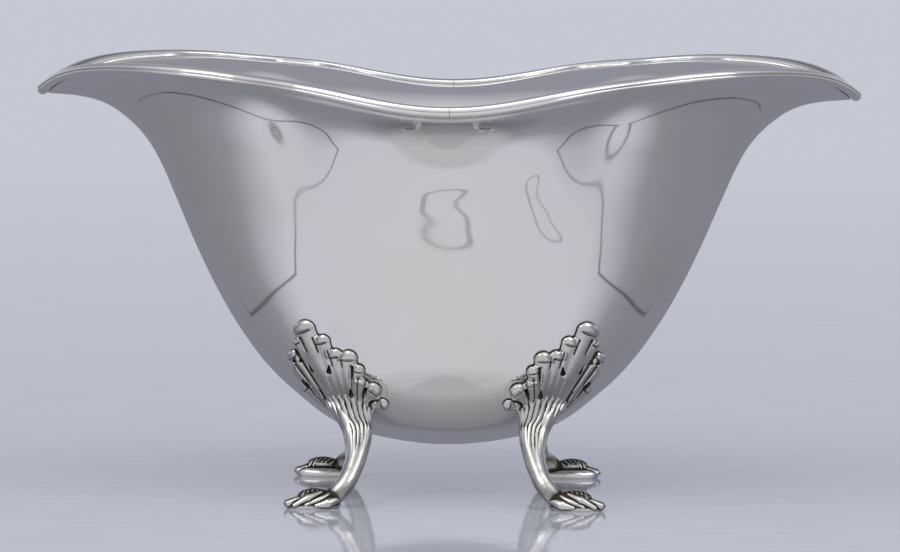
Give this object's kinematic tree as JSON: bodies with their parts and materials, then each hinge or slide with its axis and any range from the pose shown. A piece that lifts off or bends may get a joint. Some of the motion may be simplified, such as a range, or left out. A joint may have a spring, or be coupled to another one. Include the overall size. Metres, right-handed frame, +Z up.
{
  "type": "footed bonbon bowl",
  "caption": "Deep oval silver bonbon bowl with a flared, undulating rim edged in moulded wire, raised on cast legs with scalloped leaf caps and leafy feet.",
  "frame": {"origin": "on the table, under the middle of the bowl", "axes": "+Z up, +X along the length of the bowl towards its right-hand end, +Y towards its back"},
  "size_m": [0.18, 0.13, 0.0955],
  "materials": {
    "bowl_silver": "polished raised sheet with soft hammer waviness and fine cleaning scratches",
    "rim_silver": "polished drawn wire with warm tarnish in its grooves",
    "cast_silver": "polished casting with dark patina in its recesses"
  },
  "bodies": {
    "root": {"bowl_body": "bowl_silver", "rim_wire_right": "rim_silver", "rim_wire_left": "rim_silver", "leg_front_left": "cast_silver", "leg_front_right": "cast_silver", "leg_back_left": "cast_silver", "leg_back_right": "cast_silver"}
  },
  "joints": []
}
